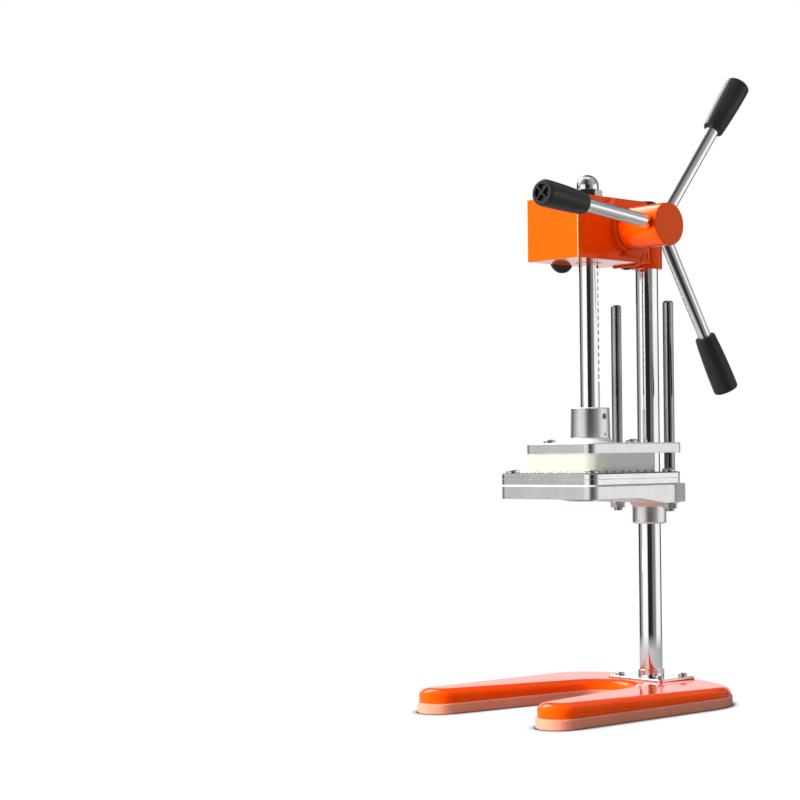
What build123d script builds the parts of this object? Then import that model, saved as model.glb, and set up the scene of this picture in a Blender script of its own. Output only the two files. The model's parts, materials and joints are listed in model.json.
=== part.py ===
from build123d import *

import math
import os

# Hand-lever vegetable dicer: a column stand carries a blade cassette, and a handwheel with
# three spokes drives a rack and pinion that pushes a slotted block down through the blades.
# Millimetres. Origin: column axis at the underside of the base. +Z up, -Y towards the user,
# +X towards the handwheel. The press is at the bottom of its stroke.

# Column and plunger
COLUMN_RADIUS = 10.8
COLUMN_WALL = 2.6
COLUMN_PROUD = 1.0
PLUNGER_Y = -78.0
PLUNGER_RADIUS = 9.0
STROKE = 125.0

# Base: a horseshoe casting on a slightly larger pad
PAD_TOP = 9.3
BASE_TOP = 17.6
CASTING_INSET = 1.5
# The casting's crowned edge runs further inwards than it drops
CROWN_REACH, CROWN_DROP = 11.0, 6.2
CASTING_GROOVE = 0.5
# The casting thickens from the back of the flange to the leg tips; a level pad carries the flange
CASTING_TOP, TIP_RISE, TIP_RISE_LENGTH = 16.4, 5.6, 240.0
FLANGE_SEAT_PLAY = 0.6
PAD_EDGE = 1.6
TIP_X, TIP_Y, TIP_RADIUS = 75.2, -196.0, 20.5
CORNER_X, CORNER_RADIUS = 57.0, 50.0
REAR_Y, REAR_RADIUS = 38.0, 160.0
NOTCH_Y, NOTCH_RADIUS = -72.0, 30.0

# Column flange
FLANGE_X, FLANGE_Y, FLANGE_PLATE, FLANGE_CORNER = 68.0, 48.0, 2.0, 4.0
FLANGE_COLLAR_RADIUS = 12.4
FLANGE_COLLAR_TOP = 26.0
FLANGE_SCREW_X, FLANGE_SCREW_Y = 25.0, 16.0

# Plastic plug in the top of the column
CAP_RADIUS, CAP_HEIGHT, CAP_EDGE, CAP_PLUG = 10.8, 5.0, 4.5, 12.0

# Blade cassette: two frame plates that clamp a grid of interlocked blades
FRAME_SIDE, FRAME_CORNER = 120.0, 10.0
FRAME_EDGE, SEAM_EDGE = 0.9, 0.15
OPENING_SIDE, OPENING_CORNER = 90.0, 12.0
FRAME_BOTTOM, FRAME_SEAM, FRAME_TOP = 200.0, 205.5, 211.0
BLADE_COUNT, BLADE_PITCH = 8, 10.0
BLADE_THICKNESS, BLADE_LENGTH = 0.7, 98.0
BLADE_BOTTOM, BLADE_TOP, BLADE_BEVEL = 202.0, 210.0, 1.6
BLADE_PLAY = 0.1
CORNER_HOLE = 50.0

# Bracket that carries the cassette and clamps the column
BRACKET_BOTTOM, BRACKET_REAR_BOTTOM = 188.0, 183.0
BRACKET_SLEEVE_RADIUS, BRACKET_SLEEVE_BOTTOM = 16.0, 162.0
BRACKET_WINDOW = 92.0
BRACKET_SCREW_Z, BRACKET_SCREW_RADIUS = 171.0, 3.0

# Guide rods
ROD_X, ROD_Y, ROD_RADIUS = 32.9, -7.7, 5.0
ROD_TOP, ROD_BOTTOM, ROD_STUD_RADIUS = 368.0, 174.0, 4.0
ROD_CLEARANCE = 0.1
ROD_WASHER_RADIUS, ROD_WASHER_THICKNESS = 8.0, 1.4
ROD_NUT_FLATS, ROD_NUT_HEIGHT = 13.0, 5.0

# Presser plate and pusher block
PRESSER_BOTTOM, PRESSER_TOP = 228.0, 237.5
PRESSER_HALF_X, PRESSER_FRONT, PRESSER_REAR = 42.3, -121.8, 1.9
PRESSER_HUB_TOP, PRESSER_HUB_FOOT, PRESSER_HUB_HEAD = 269.5, 18.4, 17.7
PRESSER_HUB_FLARE = 5.5
PRESSER_SCREW_Z, PRESSER_SCREW_RADIUS = 261.5, 2.6
PRESSER_DIMPLE_Z, PRESSER_DIMPLE_RADIUS = 245.5, 1.5
PLUNGER_BOTTOM = 232.5
PUSHER_SIDE, PUSHER_CORNER, PUSHER_BOTTOM = 88.0, 10.0, 200.6
PUSHER_SLOT, PUSHER_SLOT_TOP = 2.0, 212.5
PUSHER_BOLT_OFFSET = 26.3

# Cap nut that stops the plunger on top of the head
STOP_GAP, STOP_WASHER_RADIUS, STOP_WASHER_THICKNESS = 0.2, 13.0, 2.0
NUT_FLATS, NUT_HEX_HEIGHT, NUT_DOME_RADIUS, NUT_TOP = 23.0, 7.5, 10.0, 480.5
NUT_THREAD_RADIUS, NUT_THREAD_TOP = 7.0, 472.0
NUT_TURN = 44.0

# Head
HEAD_HALF_X, HEAD_FRONT, HEAD_REAR = 32.0, -124.0, -33.0
HEAD_BOTTOM, HEAD_TOP, HEAD_WALL = 401.0, 457.0, 5.0
SOCKET_RADIUS, SOCKET_BOTTOM = 14.8, 399.5
NECK_HALF_X = 13.0
BUSH_RADIUS, UPPER_BUSH_LENGTH, LOWER_BUSH_LENGTH = 12.0, 9.0, 13.0
RUNNING_CLEARANCE = 0.06

# Rack and pinion, 12 diametral pitch
MODULE = 25.4 / 12
PINION_TEETH = 14
PRESSURE_ANGLE = math.radians(20.0)
BACKLASH = 0.24
RACK_ADDENDUM, RACK_TIP, RACK_ROOT = 1.7, 6.2, 1.45
RACK_LOW, RACK_HIGH = 284.0, 452.0
PINION_RADIUS = MODULE * PINION_TEETH / 2
PINION_HALF_X = 10.0
PINION_BOSS_X, PINION_BOSS_RADIUS = 22.0, 11.5
PINION_Y = PLUNGER_Y + RACK_TIP - RACK_ADDENDUM + PINION_RADIUS
PINION_Z = 430.5
RACK_PITCH = math.pi * MODULE

# Handwheel
SHAFT_RADIUS, SHAFT_BUSH_RADIUS = 8.0, 11.0
SHAFT_LOW, SHAFT_HIGH = -33.0, 70.0
SEAT_RADIUS, SEAT_FLANGE_RADIUS, SEAT_FLANGE_X = 18.0, 22.0, 36.0
HUB_RADIUS, HUB_LOW, HUB_HIGH = 19.1, 36.6, 81.5
HUB_SCREW_X, HUB_SCREW_RADIUS = 47.0, 2.5
SPOKE_APEX_X, SPOKE_CONE, SPOKE_FIRST = 69.6, 5.8, 55.6
SPOKE_COUNT = 3
SPOKE_RADIUS, SPOKE_STUB_RADIUS = 6.0, 5.0
SPOKE_START, SPOKE_SHOULDER, SPOKE_END = 10.0, 14.0, 156.0
SPOT_FACE_RADIUS, SPOT_FACE_DEPTH = 7.5, 1.0
GRIP_START, GRIP_END = 109.3, 163.6
GRIP_START_RADIUS, GRIP_WAIST_RADIUS, GRIP_END_RADIUS = 9.4, 11.0, 11.4

# Clamp knobs on the side away from the handwheel
KNOB_RADIUS, KNOB_THICKNESS, KNOB_EDGE, KNOB_SKIN = 15.0, 5.0, 2.0, 1.5
KNOB_BOSS_RADIUS, KNOB_STUD_RADIUS = 7.5, 4.0
KNOB_FLUTES, KNOB_FLUTE_RADIUS, KNOB_FLUTE_DEPTH = 30, 1.0, 0.35
FRICTION_KNOB_Z, CLAMP_KNOB_Z = 409.2, 416.3
FRICTION_KNOB_FACE, CLAMP_KNOB_FACE = -32.6, -24.0
FRICTION_KNOB_BOSS, CLAMP_KNOB_BOSS = 0.5, 9.1

ON_BASE = (Align.CENTER, Align.CENTER, Align.MIN)


def upright(radius, low, high, x=0.0, y=0.0):
    """Cylinder with a vertical axis."""
    return Pos(x, y, low) * Cylinder(radius, high - low, align=ON_BASE)


def crosswise(radius, low, high, y, z):
    """Cylinder with its axis along X."""
    return Pos(low, y, z) * Rot(0, 90, 0) * Cylinder(radius, high - low, align=ON_BASE)


def block(x_low, x_high, y_low, y_high, z_low, z_high):
    """Box between two corners."""
    corner_align = (Align.MIN, Align.MIN, Align.MIN)
    size = (x_high - x_low, y_high - y_low, z_high - z_low)
    return Pos(x_low, y_low, z_low) * Box(*size, align=corner_align)


def hexagon(across_flats, low, high, x=0.0, y=0.0, turn=0.0):
    """Upright hexagonal prism, turned about its own axis."""
    outline = RegularPolygon(across_flats / math.sqrt(3), 6)
    return Pos(x, y, low) * Rot(0, 0, turn) * extrude(outline, high - low)


def rounded_slab(side_x, side_y, corner, low, high, x=0.0, y=0.0):
    """Flat plate with rounded corners, seen from above."""
    return Pos(x, y, low) * extrude(RectangleRounded(side_x, side_y, corner), high - low)


def rim(solid, which):
    """Edges of a solid's lowest (0) or highest (-1) outline."""
    return solid.edges().group_by(Axis.Z)[which]


def pan_screw(x, y, seat, head_radius, head_height, shank_radius, shank_length):
    """Screw with a domed head and a cross recess, pointing down."""
    head = upright(head_radius, seat, seat + head_height, x, y)
    head = fillet(rim(head, -1), head_height * 0.6)
    recess_depth = head_height * 0.6
    recess_top = seat + head_height
    for angle in (0, 90):
        slot = Box(head_radius * 0.95, head_radius * 0.2, recess_depth)
        head -= Pos(x, y, recess_top - recess_depth / 2) * Rot(0, 0, angle + 20) * slot
    return head + upright(shank_radius, seat - shank_length, seat, x, y)


# --- base -------------------------------------------------------------------------------


def tangent_line(centre_a, radius_a, centre_b, radius_b, side, crossed=False):
    """Tangent points on two circles; side is +1 left or -1 right of the line from a to b."""
    along = (Vector(*centre_b) - Vector(*centre_a)).normalized()
    across = Vector(-along.Y, along.X) * side
    distance = (Vector(*centre_b) - Vector(*centre_a)).length
    other = -radius_b if crossed else radius_b
    lean = (radius_a - other) / distance
    normal = along * lean + across * math.sqrt(1 - lean * lean)
    return Vector(*centre_a) + normal * radius_a, Vector(*centre_b) + normal * other


def arc_about(centre, start, end, turn):
    """Arc about a centre; turn is +1 counter-clockwise or -1 clockwise."""
    radial = start - Vector(*centre)
    first = math.atan2(radial.Y, radial.X)
    last = math.atan2(end.Y - centre[1], end.X - centre[0])
    middle = first + turn * ((turn * (last - first)) % (2 * math.pi)) / 2
    halfway = Vector(*centre) + Vector(math.cos(middle), math.sin(middle)) * radial.length
    return ThreePointArc(start, halfway, end)


def base_outline(inset):
    """Horseshoe seen from above, moved inwards by inset."""
    tip, notch = (TIP_X, TIP_Y), (0.0, NOTCH_Y)
    rear = (0.0, REAR_Y - REAR_RADIUS)
    reach = REAR_RADIUS - CORNER_RADIUS
    corner = (CORNER_X, rear[1] + math.sqrt(reach**2 - CORNER_X**2))
    tip_radius, corner_radius = TIP_RADIUS - inset, CORNER_RADIUS - inset
    notch_radius, rear_radius = NOTCH_RADIUS + inset, REAR_RADIUS - inset
    inner = tangent_line(notch, notch_radius, tip, tip_radius, 1, crossed=True)
    outer = tangent_line(tip, tip_radius, corner, corner_radius, -1)
    outward = (Vector(*corner) - Vector(*rear)).normalized()
    rear_join = Vector(*rear) + outward * rear_radius
    notch_end = Vector(0, NOTCH_Y + notch_radius)
    rear_middle = Vector(0, rear[1] + rear_radius)
    half = Curve() + [
        arc_about(notch, notch_end, inner[0], -1),
        Line(*inner),
        arc_about(tip, inner[1], outer[0], 1),
        Line(*outer),
        arc_about(corner, outer[1], rear_join, 1),
        arc_about(rear, rear_join, rear_middle, 1),
    ]
    return make_face(half + mirror(half, about=Plane.YZ))


def make_base_pad():
    pad = extrude(base_outline(0), PAD_TOP)
    pad = fillet(rim(pad, -1), PAD_EDGE)
    return chamfer(rim(pad, 0), PAD_EDGE / 2)


def make_base_casting():
    """Crowned horseshoe: rounded with a plain fillet while stretched upwards, then flattened."""
    stretch = CROWN_REACH / CROWN_DROP
    thickness = (CASTING_TOP - PAD_TOP) * stretch
    casting = extrude(base_outline(CASTING_INSET), 3 * thickness)
    slope = math.degrees(math.atan(stretch * TIP_RISE / TIP_RISE_LENGTH))
    waste = Box(500, 600, 60, align=ON_BASE)
    casting -= Pos(0, FLANGE_Y / 2, thickness) * Rot(-slope, 0, 0) * waste
    crown = casting.faces().sort_by(Axis.Z)[-1]
    casting = fillet(crown.edges(), CROWN_REACH)
    casting = chamfer(rim(casting, 0), CASTING_GROOVE)
    casting = Pos(0, 0, PAD_TOP) * scale(casting, by=(1, 1, 1 / stretch))
    seat = (FLANGE_X + FLANGE_SEAT_PLAY, FLANGE_Y + FLANGE_SEAT_PLAY, FLANGE_CORNER)
    casting += rounded_slab(*seat, CASTING_TOP - 2, BASE_TOP)
    return casting - rounded_slab(*seat, BASE_TOP, BASE_TOP + 5)


def flange_screw(x, y):
    return pan_screw(x, y, BASE_TOP + FLANGE_PLATE, 4.2, 2.6, 2.4, 8.5)


def make_column_flange():
    flange = rounded_slab(FLANGE_X, FLANGE_Y, FLANGE_CORNER, BASE_TOP, BASE_TOP + FLANGE_PLATE)
    flange = chamfer(rim(flange, -1), 0.5)
    collar = upright(FLANGE_COLLAR_RADIUS, BASE_TOP + FLANGE_PLATE, FLANGE_COLLAR_TOP)
    return flange + fillet(rim(collar, -1), 0.8)


# --- column -----------------------------------------------------------------------------


def make_column_tube():
    top = HEAD_TOP + COLUMN_PROUD
    bore = upright(COLUMN_RADIUS - COLUMN_WALL, BASE_TOP, top)
    return upright(COLUMN_RADIUS, BASE_TOP, top) - bore


def make_column_cap():
    """Domed plastic plug on the top of the column."""
    seat = HEAD_TOP + COLUMN_PROUD
    cap = upright(CAP_RADIUS, seat, seat + CAP_HEIGHT)
    cap = fillet(rim(cap, -1), CAP_EDGE)
    return cap + upright(COLUMN_RADIUS - COLUMN_WALL, seat - CAP_PLUG, seat)


# --- blade cassette ---------------------------------------------------------------------


def blade_offsets():
    """Distances of the blades from the middle of the cassette."""
    return [(index - (BLADE_COUNT - 1) / 2) * BLADE_PITCH for index in range(BLADE_COUNT)]


def cutter_slots(width, length, low, high):
    """Crossed flat blocks, one on each blade line in both directions."""
    height = high - low
    slots = []
    for offset in blade_offsets():
        centre_z = low + height / 2
        slots.append(Pos(0, PLUNGER_Y + offset, centre_z) * Box(length, width, height))
        slots.append(Pos(offset, PLUNGER_Y, centre_z) * Box(width, length, height))
    return slots


def frame_plate(low, high):
    """One of the two square frame plates, with the pockets that hold the blade ends."""
    plate = rounded_slab(FRAME_SIDE, FRAME_SIDE, FRAME_CORNER, low, high, 0, PLUNGER_Y)
    plate = chamfer(rim(plate, -1), FRAME_EDGE if high == FRAME_TOP else SEAM_EDGE)
    plate = chamfer(rim(plate, 0), FRAME_EDGE if low == FRAME_BOTTOM else SEAM_EDGE)
    plate -= rounded_slab(OPENING_SIDE, OPENING_SIDE, OPENING_CORNER, low, high, 0, PLUNGER_Y)
    pockets = cutter_slots(
        BLADE_THICKNESS + BLADE_PLAY,
        BLADE_LENGTH + BLADE_PLAY,
        max(low, BLADE_BOTTOM - BLADE_PLAY),
        min(high, BLADE_TOP + BLADE_PLAY),
    )
    return plate - pockets


def blade_strip(notch_low, notch_high):
    """Blade along X at the origin, with a sharp upper edge and a notch at each crossing."""
    half = BLADE_THICKNESS / 2
    section = Polyline(
        (-half, BLADE_BOTTOM),
        (half, BLADE_BOTTOM),
        (half, BLADE_TOP - BLADE_BEVEL),
        (half / 6, BLADE_TOP),
        (-half / 6, BLADE_TOP),
        (-half, BLADE_TOP - BLADE_BEVEL),
        close=True,
    )
    strip = extrude(Plane.YZ * make_face(section), BLADE_LENGTH / 2, both=True)
    notch = Box(BLADE_THICKNESS + BLADE_PLAY, 4 * half, notch_high - notch_low)
    middle = (notch_low + notch_high) / 2
    return strip - [Pos(offset, 0, middle) * notch for offset in blade_offsets()]


def make_blades_cross():
    """Blades that run from side to side, notched from below."""
    strip = blade_strip(BLADE_BOTTOM - 1, FRAME_SEAM + BLADE_PLAY / 2)
    return Compound([Pos(0, PLUNGER_Y + offset, 0) * strip for offset in blade_offsets()])


def make_blades_long():
    """Blades that run from front to back, notched from above."""
    strip = Rot(0, 0, 90) * blade_strip(FRAME_SEAM - BLADE_PLAY / 2, BLADE_TOP + 1)
    return Compound([Pos(offset, PLUNGER_Y, 0) * strip for offset in blade_offsets()])


def corner_screw(side_x, side_y, shank_length):
    x, y = side_x * CORNER_HOLE, PLUNGER_Y + side_y * CORNER_HOLE
    return pan_screw(x, y, FRAME_TOP, 6.2, 2.9, 3.0, shank_length)


def make_cassette_screws():
    """Two screws that hold the frame plates together."""
    length = FRAME_TOP - FRAME_BOTTOM
    return [corner_screw(-1, -1, length), corner_screw(1, 1, length)]


def make_mounting_screws():
    """Two screws that fasten the cassette to the bracket."""
    return [corner_screw(1, -1, 20), corner_screw(-1, 1, 20)]


# --- bracket and guide rods -------------------------------------------------------------


def make_bracket():
    """Cast bracket: square rails around a chute, thicker rear lug and a column sleeve."""
    front_corner = FRAME_SIDE / 2 - FRAME_CORNER
    rear_corner = FRAME_SIDE / 2 - 14
    outline = Sketch() + [
        Pos(side * front_corner, PLUNGER_Y - front_corner) * Circle(FRAME_CORNER)
        for side in (-1, 1)
    ]
    outline += [Pos(side * rear_corner, -34) * Circle(14) for side in (-1, 1)]
    outline += [Pos(side * ROD_X, ROD_Y + 2) * Circle(13) for side in (-1, 1)]
    outline += Circle(21)
    outline = make_hull(outline.edges())
    plan = Pos(0, 0, BRACKET_REAR_BOTTOM) * extrude(outline, FRAME_BOTTOM - BRACKET_REAR_BOTTOM)
    ramp = Polyline(
        (-150, BRACKET_BOTTOM),
        (-150, BRACKET_REAR_BOTTOM - 5),
        (-45, BRACKET_REAR_BOTTOM - 5),
        (-45, BRACKET_REAR_BOTTOM),
        (PLUNGER_Y, BRACKET_BOTTOM),
        close=True,
    )
    bracket = plan - extrude(Plane.YZ * make_face(ramp), FRAME_SIDE, both=True)
    bracket = chamfer(rim(bracket, -1), 0.8)
    bracket -= rounded_slab(
        BRACKET_WINDOW, BRACKET_WINDOW, OPENING_CORNER, BRACKET_REAR_BOTTOM - 1,
        FRAME_BOTTOM + 1, 0, PLUNGER_Y,
    )
    sleeve = upright(BRACKET_SLEEVE_RADIUS, BRACKET_SLEEVE_BOTTOM, BRACKET_REAR_BOTTOM)
    sleeve = fillet(rim(sleeve, 0), 1.5)
    flare = Pos(0, 0, BRACKET_REAR_BOTTOM - 5) * Cone(
        BRACKET_SLEEVE_RADIUS, BRACKET_SLEEVE_RADIUS + 3.5, 5, align=ON_BASE
    )
    bracket += sleeve + flare
    bracket -= upright(COLUMN_RADIUS, BRACKET_SLEEVE_BOTTOM - 1, FRAME_BOTTOM + 1)
    for side in (-1, 1):
        bracket -= upright(ROD_STUD_RADIUS, 150, FRAME_BOTTOM + 1, side * ROD_X, ROD_Y)
    return bracket


def bracket_screw_blank():
    """Grub screw at the back of the sleeve that locks the bracket on the column."""
    axis = Plane(origin=(0, COLUMN_RADIUS, BRACKET_SCREW_Z), z_dir=(0, 1, 0))
    return axis * Cylinder(BRACKET_SCREW_RADIUS, 5.6, align=ON_BASE)


def make_bracket_set_screw():
    key = Plane(origin=(0, COLUMN_RADIUS + 3.1, BRACKET_SCREW_Z), z_dir=(0, 1, 0))
    return bracket_screw_blank() - key * extrude(RegularPolygon(1.6, 6), 3)


def guide_rod(side):
    rod = upright(ROD_RADIUS, FRAME_BOTTOM, ROD_TOP, side * ROD_X, ROD_Y)
    rod = fillet(rim(rod, -1), 2.2)
    stud = upright(ROD_STUD_RADIUS, ROD_BOTTOM, FRAME_BOTTOM, side * ROD_X, ROD_Y)
    return rod + chamfer(rim(stud, 0), 0.8)


def rod_washer(side):
    x, high = side * ROD_X, BRACKET_REAR_BOTTOM
    washer = upright(ROD_WASHER_RADIUS, high - ROD_WASHER_THICKNESS, high, x, ROD_Y)
    return washer - upright(ROD_STUD_RADIUS, ROD_BOTTOM, high, x, ROD_Y)


def rod_nut(side):
    x, high = side * ROD_X, BRACKET_REAR_BOTTOM - ROD_WASHER_THICKNESS
    low = high - ROD_NUT_HEIGHT
    nut = hexagon(ROD_NUT_FLATS, low, high, x, ROD_Y)
    corners = Cone(ROD_NUT_FLATS / 2 + 0.1, ROD_NUT_FLATS, ROD_NUT_HEIGHT, align=ON_BASE)
    nut &= Pos(x, ROD_Y, low) * corners
    return nut - upright(ROD_STUD_RADIUS, ROD_BOTTOM - 1, high, x, ROD_Y)


# --- press: plunger, presser plate and pusher -------------------------------------------


def make_plunger_rack():
    """Round bar with rack teeth cut in its rear side and a threaded top."""
    shoulder = HEAD_TOP + STOP_GAP
    bar = upright(PLUNGER_RADIUS, PLUNGER_BOTTOM, shoulder, 0, PLUNGER_Y)
    bar += upright(NUT_THREAD_RADIUS, shoulder, NUT_THREAD_TOP, 0, PLUNGER_Y)
    tip_y, root_y = PLUNGER_Y + RACK_TIP, PLUNGER_Y + RACK_ROOT
    beyond = PLUNGER_Y + PLUNGER_RADIUS + 1
    bar -= block(-10, 10, tip_y, beyond, RACK_LOW, RACK_HIGH)
    half_gap = RACK_PITCH / 4 + BACKLASH / 4
    slope = math.tan(PRESSURE_ANGLE)
    mouth = half_gap + (RACK_ADDENDUM + beyond - tip_y) * slope
    floor = half_gap - (RACK_TIP - RACK_ADDENDUM - RACK_ROOT) * slope
    gap = Polyline(
        (root_y, -floor), (root_y, floor), (beyond, mouth), (beyond, -mouth), close=True
    )
    gap = extrude(Plane.YZ * make_face(gap), 12, both=True)
    lowest = math.ceil((RACK_LOW + mouth - PINION_Z) / RACK_PITCH - 0.5)
    highest = math.floor((RACK_HIGH - mouth - PINION_Z) / RACK_PITCH - 0.5)
    gaps = [
        Pos(0, 0, PINION_Z + (index + 0.5) * RACK_PITCH) * gap
        for index in range(lowest, highest + 1)
    ]
    return bar - gaps


def make_stop_washer():
    low = HEAD_TOP + STOP_GAP
    washer = upright(STOP_WASHER_RADIUS, low, low + STOP_WASHER_THICKNESS, 0, PLUNGER_Y)
    washer = chamfer(rim(washer, -1), 0.4)
    return washer - upright(NUT_THREAD_RADIUS, low - 1, low + 5, 0, PLUNGER_Y)


def make_cap_nut():
    """Domed nut that stops the plunger at the bottom of its stroke."""
    low = HEAD_TOP + STOP_GAP + STOP_WASHER_THICKNESS
    shoulder = low + NUT_HEX_HEIGHT
    hexagonal = hexagon(NUT_FLATS, low, shoulder, 0, PLUNGER_Y, NUT_TURN)
    cone = Cone(NUT_FLATS, NUT_FLATS / 2 + 0.4, NUT_HEX_HEIGHT, align=ON_BASE)
    nut = hexagonal & Pos(0, PLUNGER_Y, low) * cone
    dome_start = NUT_TOP - NUT_DOME_RADIUS
    nut += upright(NUT_DOME_RADIUS, shoulder, dome_start, 0, PLUNGER_Y)
    nut += Pos(0, PLUNGER_Y, dome_start) * Sphere(NUT_DOME_RADIUS)
    return nut - upright(NUT_THREAD_RADIUS, low - 1, NUT_THREAD_TOP, 0, PLUNGER_Y)


def make_presser_plate():
    """Cast plate with the plunger hub, two guide holes and a notch for the column."""
    depth = PRESSER_REAR - PRESSER_FRONT
    middle = (PRESSER_REAR + PRESSER_FRONT) / 2
    plate = rounded_slab(2 * PRESSER_HALF_X, depth, 8, PRESSER_BOTTOM, PRESSER_TOP, 0, middle)
    plate = fillet(rim(plate, -1), 1.2)
    hub = Pos(0, PLUNGER_Y, PRESSER_TOP) * Cone(
        PRESSER_HUB_FOOT, PRESSER_HUB_HEAD, PRESSER_HUB_TOP - PRESSER_TOP, align=ON_BASE
    )
    plate += fillet(rim(hub, -1), 1.0)
    foot = plate.edges().filter_by(GeomType.CIRCLE).filter_by(
        lambda edge: abs(edge.radius - PRESSER_HUB_FOOT) < 0.01
    )
    plate = fillet(foot, PRESSER_HUB_FLARE)
    notch = COLUMN_RADIUS + 2.5
    plate -= upright(notch, PRESSER_BOTTOM - 1, PRESSER_TOP + 1)
    plate -= block(-notch, notch, 0, 20, PRESSER_BOTTOM - 1, PRESSER_TOP + 1)
    for side in (-1, 1):
        hole = ROD_RADIUS + ROD_CLEARANCE
        plate -= upright(hole, PRESSER_BOTTOM - 1, PRESSER_TOP + 1, side * ROD_X, ROD_Y)
    plate -= upright(PLUNGER_RADIUS, PLUNGER_BOTTOM, PRESSER_HUB_TOP + 1, 0, PLUNGER_Y)
    plate -= Pos(PRESSER_HUB_FOOT + 0.2, PLUNGER_Y, PRESSER_DIMPLE_Z) * Sphere(
        PRESSER_DIMPLE_RADIUS
    )
    reach = PRESSER_HUB_FOOT + 10
    return plate - crosswise(PRESSER_SCREW_RADIUS, 0, reach, PLUNGER_Y, PRESSER_SCREW_Z)


def make_presser_set_screw():
    """Grub screw that locks the plunger in the presser plate's hub."""
    outer = PLUNGER_RADIUS + 5
    screw = crosswise(PRESSER_SCREW_RADIUS, PLUNGER_RADIUS, outer, PLUNGER_Y, PRESSER_SCREW_Z)
    key = Plane(origin=(outer, PLUNGER_Y, PRESSER_SCREW_Z), z_dir=(-1, 0, 0))
    return screw - key * extrude(RegularPolygon(1.5, 6), 2.5)


def make_pusher_block():
    """Nylon block cut into fingers that pass between the blades."""
    pusher = rounded_slab(
        PUSHER_SIDE, PUSHER_SIDE, PUSHER_CORNER, PUSHER_BOTTOM, PRESSER_BOTTOM, 0, PLUNGER_Y
    )
    return pusher - cutter_slots(PUSHER_SLOT, 100, PUSHER_BOTTOM - 1, PUSHER_SLOT_TOP)


def pusher_bolt(side):
    """Domed bolt through the presser plate into the pusher block."""
    x, y = side * PUSHER_BOLT_OFFSET, PLUNGER_Y + side * PUSHER_BOLT_OFFSET
    return pan_screw(x, y, PRESSER_TOP, 5.6, 3.4, 3, 18)


# --- head -------------------------------------------------------------------------------


def make_head_housing():
    """Square steel housing around the pinion, with walls of one thickness."""
    wall = HEAD_WALL
    outside = block(-HEAD_HALF_X, HEAD_HALF_X, HEAD_FRONT, HEAD_REAR, HEAD_BOTTOM, HEAD_TOP)
    outside = fillet(outside.edges(), 0.8)
    inside = block(
        wall - HEAD_HALF_X, HEAD_HALF_X - wall, HEAD_FRONT + wall, HEAD_REAR - wall,
        HEAD_BOTTOM + wall, HEAD_TOP - wall,
    )
    housing = outside - inside
    housing -= upright(BUSH_RADIUS, HEAD_BOTTOM - 1, HEAD_TOP + 1, 0, PLUNGER_Y)
    housing -= crosswise(SEAT_RADIUS, 0, HEAD_HALF_X + 1, PINION_Y, PINION_Z)
    housing -= crosswise(SHAFT_BUSH_RADIUS, -HEAD_HALF_X - 1, 0, PINION_Y, PINION_Z)
    return housing - friction_hole()


def friction_hole():
    """Way in for the friction stud, through the far wall and the lower bush."""
    radius = KNOB_STUD_RADIUS + RUNNING_CLEARANCE
    return crosswise(radius, -HEAD_HALF_X - 1, -PLUNGER_RADIUS + 1, PLUNGER_Y, FRICTION_KNOB_Z)


def make_head_neck():
    """Web that joins the housing to the column socket."""
    neck = block(-NECK_HALF_X, NECK_HALF_X, HEAD_REAR, 0, HEAD_BOTTOM + 2, HEAD_TOP - 2)
    return neck - upright(SOCKET_RADIUS, SOCKET_BOTTOM - 1, HEAD_TOP + 1)


def make_head_socket():
    socket = upright(SOCKET_RADIUS, SOCKET_BOTTOM, HEAD_TOP)
    socket = chamfer(rim(socket, 0) + rim(socket, -1), 0.6)
    socket -= upright(COLUMN_RADIUS, SOCKET_BOTTOM - 1, HEAD_TOP + 1)
    stud_hole = KNOB_STUD_RADIUS + RUNNING_CLEARANCE
    return socket - crosswise(stud_hole, -SOCKET_RADIUS - 1, 0, 0, CLAMP_KNOB_Z)


def plunger_bush(low, high):
    bush = upright(BUSH_RADIUS, low, high, 0, PLUNGER_Y)
    bore = PLUNGER_RADIUS + RUNNING_CLEARANCE
    return bush - upright(bore, low - 1, high + 1, 0, PLUNGER_Y)


def shaft_bush(low, high):
    bore = crosswise(SHAFT_RADIUS + RUNNING_CLEARANCE, low - 1, high + 1, PINION_Y, PINION_Z)
    return crosswise(SHAFT_BUSH_RADIUS, low, high, PINION_Y, PINION_Z) - bore


def make_bearing_seat():
    """Flanged seat in the hole through which the pinion goes in."""
    seat = crosswise(SEAT_RADIUS, HEAD_HALF_X - HEAD_WALL, HEAD_HALF_X, PINION_Y, PINION_Z)
    flange = crosswise(SEAT_FLANGE_RADIUS, HEAD_HALF_X, SEAT_FLANGE_X, PINION_Y, PINION_Z)
    flange = fillet(flange.edges().group_by(Axis.X)[-1], 1.2)
    return seat + flange - crosswise(SHAFT_BUSH_RADIUS, 0, 50, PINION_Y, PINION_Z)


# --- handwheel --------------------------------------------------------------------------


def gear_outline():
    """Pinion section in polar form: involute flanks above the base circle."""
    base = PINION_RADIUS * math.cos(PRESSURE_ANGLE)
    root = PINION_RADIUS - 1.25 * MODULE
    tip = PINION_RADIUS + MODULE
    at_pitch = math.pi / (2 * PINION_TEETH) - BACKLASH / (4 * PINION_RADIUS)
    at_pitch += math.tan(PRESSURE_ANGLE) - PRESSURE_ANGLE
    steps = 5
    flank = [(root, at_pitch)]
    for step in range(steps + 1):
        radius = base + (tip - base) * step / steps
        roll = math.acos(base / radius)
        flank.append((radius, at_pitch - (math.tan(roll) - roll)))
    points = []
    for tooth in range(PINION_TEETH):
        middle = 2 * math.pi * (tooth + 0.5) / PINION_TEETH
        for radius, angle in flank:
            points.append((radius * math.cos(middle - angle), radius * math.sin(middle - angle)))
        for radius, angle in reversed(flank):
            points.append((radius * math.cos(middle + angle), radius * math.sin(middle + angle)))
    return make_face(Polyline(*points, close=True))


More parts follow.
